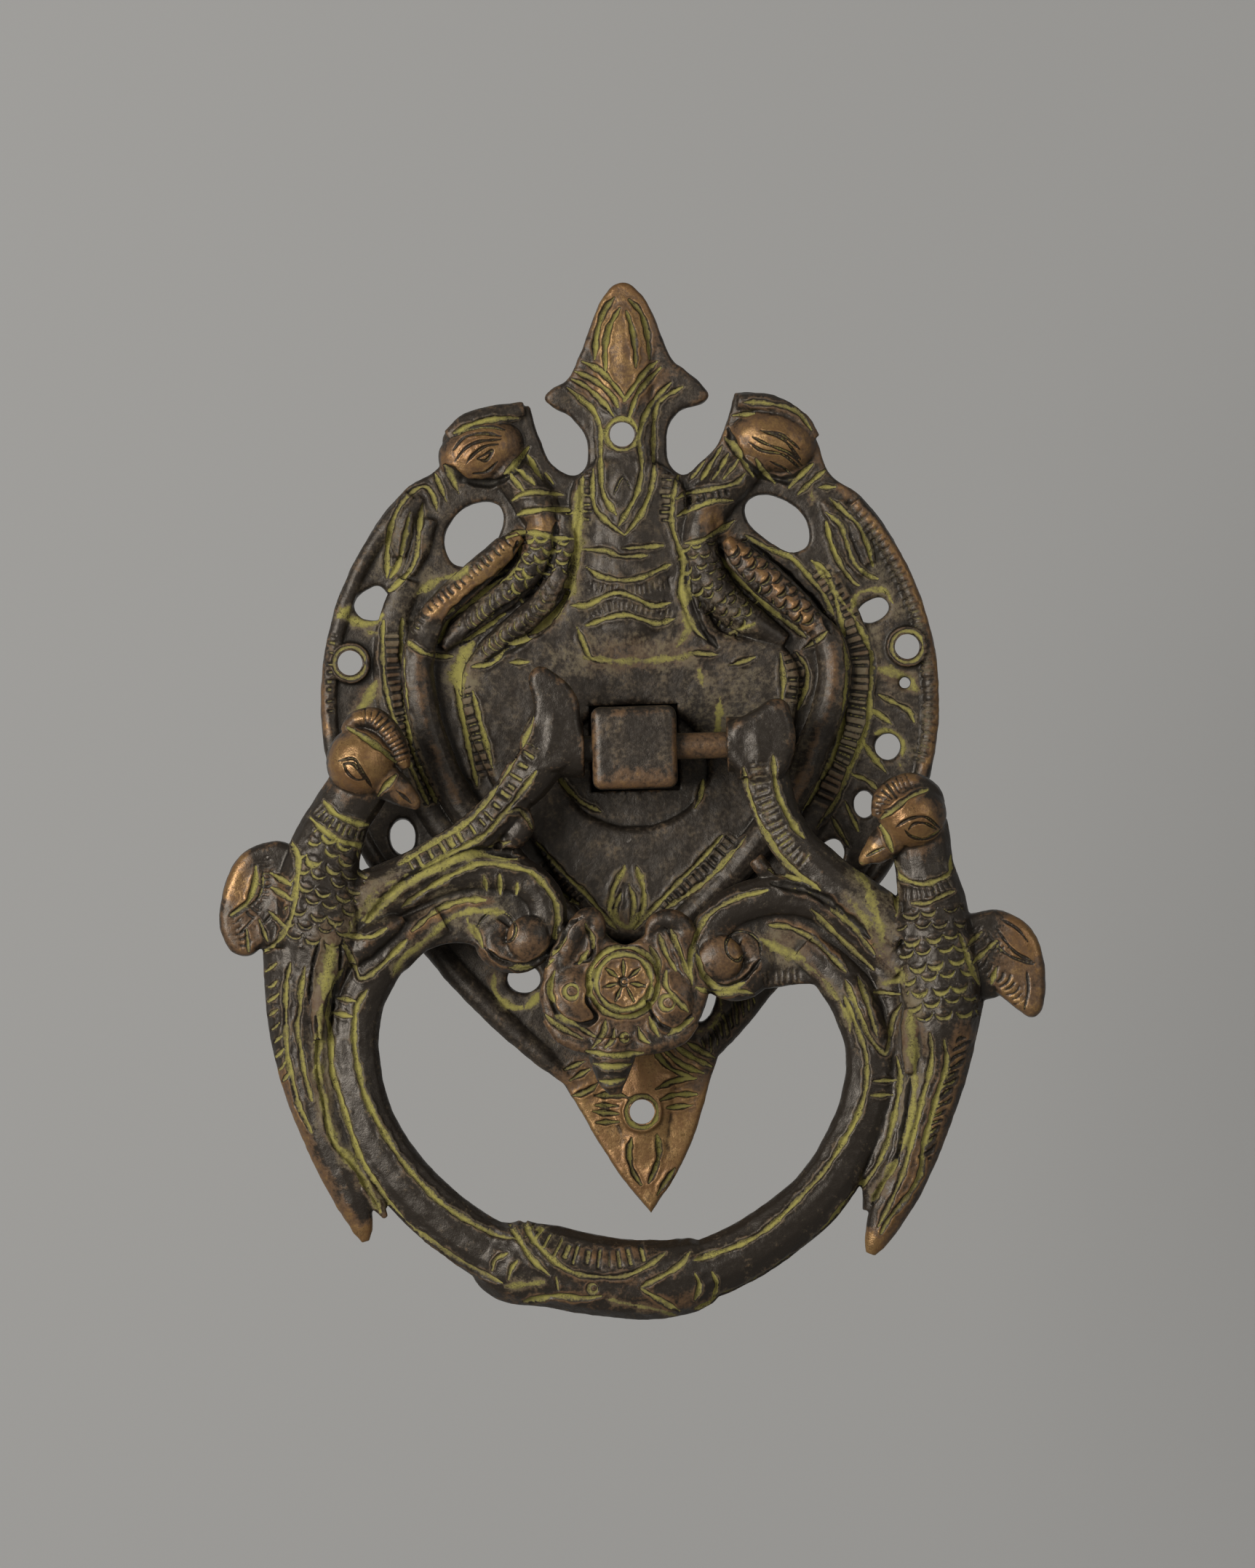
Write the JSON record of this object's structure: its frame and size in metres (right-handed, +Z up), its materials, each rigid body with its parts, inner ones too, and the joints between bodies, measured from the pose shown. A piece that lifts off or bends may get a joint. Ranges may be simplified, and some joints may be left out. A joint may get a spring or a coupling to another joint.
{
  "type": "door knocker",
  "caption": "Cast brass door knocker: openwork shield plate with relief birds, and a hinged hoop with birds, scrolls and a striking pad.",
  "frame": {"origin": "on the plate's flat back face, straight behind the middle of the hinge lug", "axes": "+Z up the door, +X to the right seen from the front, -Y out of the door towards the viewer"},
  "size_m": [0.1295, 0.0242, 0.1632],
  "materials": {
    "plate_brass": "dark patina with yellow-green in the grooves",
    "lug_brass": "dark patina, copper-coloured at the worn lower edge",
    "pin_brass": "worn bright",
    "ring_brass": "dark patina, copper-coloured on the high spots"
  },
  "bodies": {
    "plate": {"back_plate": "plate_brass", "hinge_lug": "lug_brass"},
    "pin": {"hinge_pin": "pin_brass"},
    "ring": {"knocker_ring": "ring_brass"}
  },
  "joints": [
    {"name": "pin_slide", "type": "slide", "parent": "plate", "child": "pin", "axis": [1, 0, 0], "range_m": [-0.0073, 0.0009]},
    {"name": "ring_swing", "type": "hinge", "parent": "pin", "child": "ring", "pos_m": [0, -0.0156, 0], "axis": [-1, 0, 0], "range_deg": [-6.8, 58]}
  ]
}
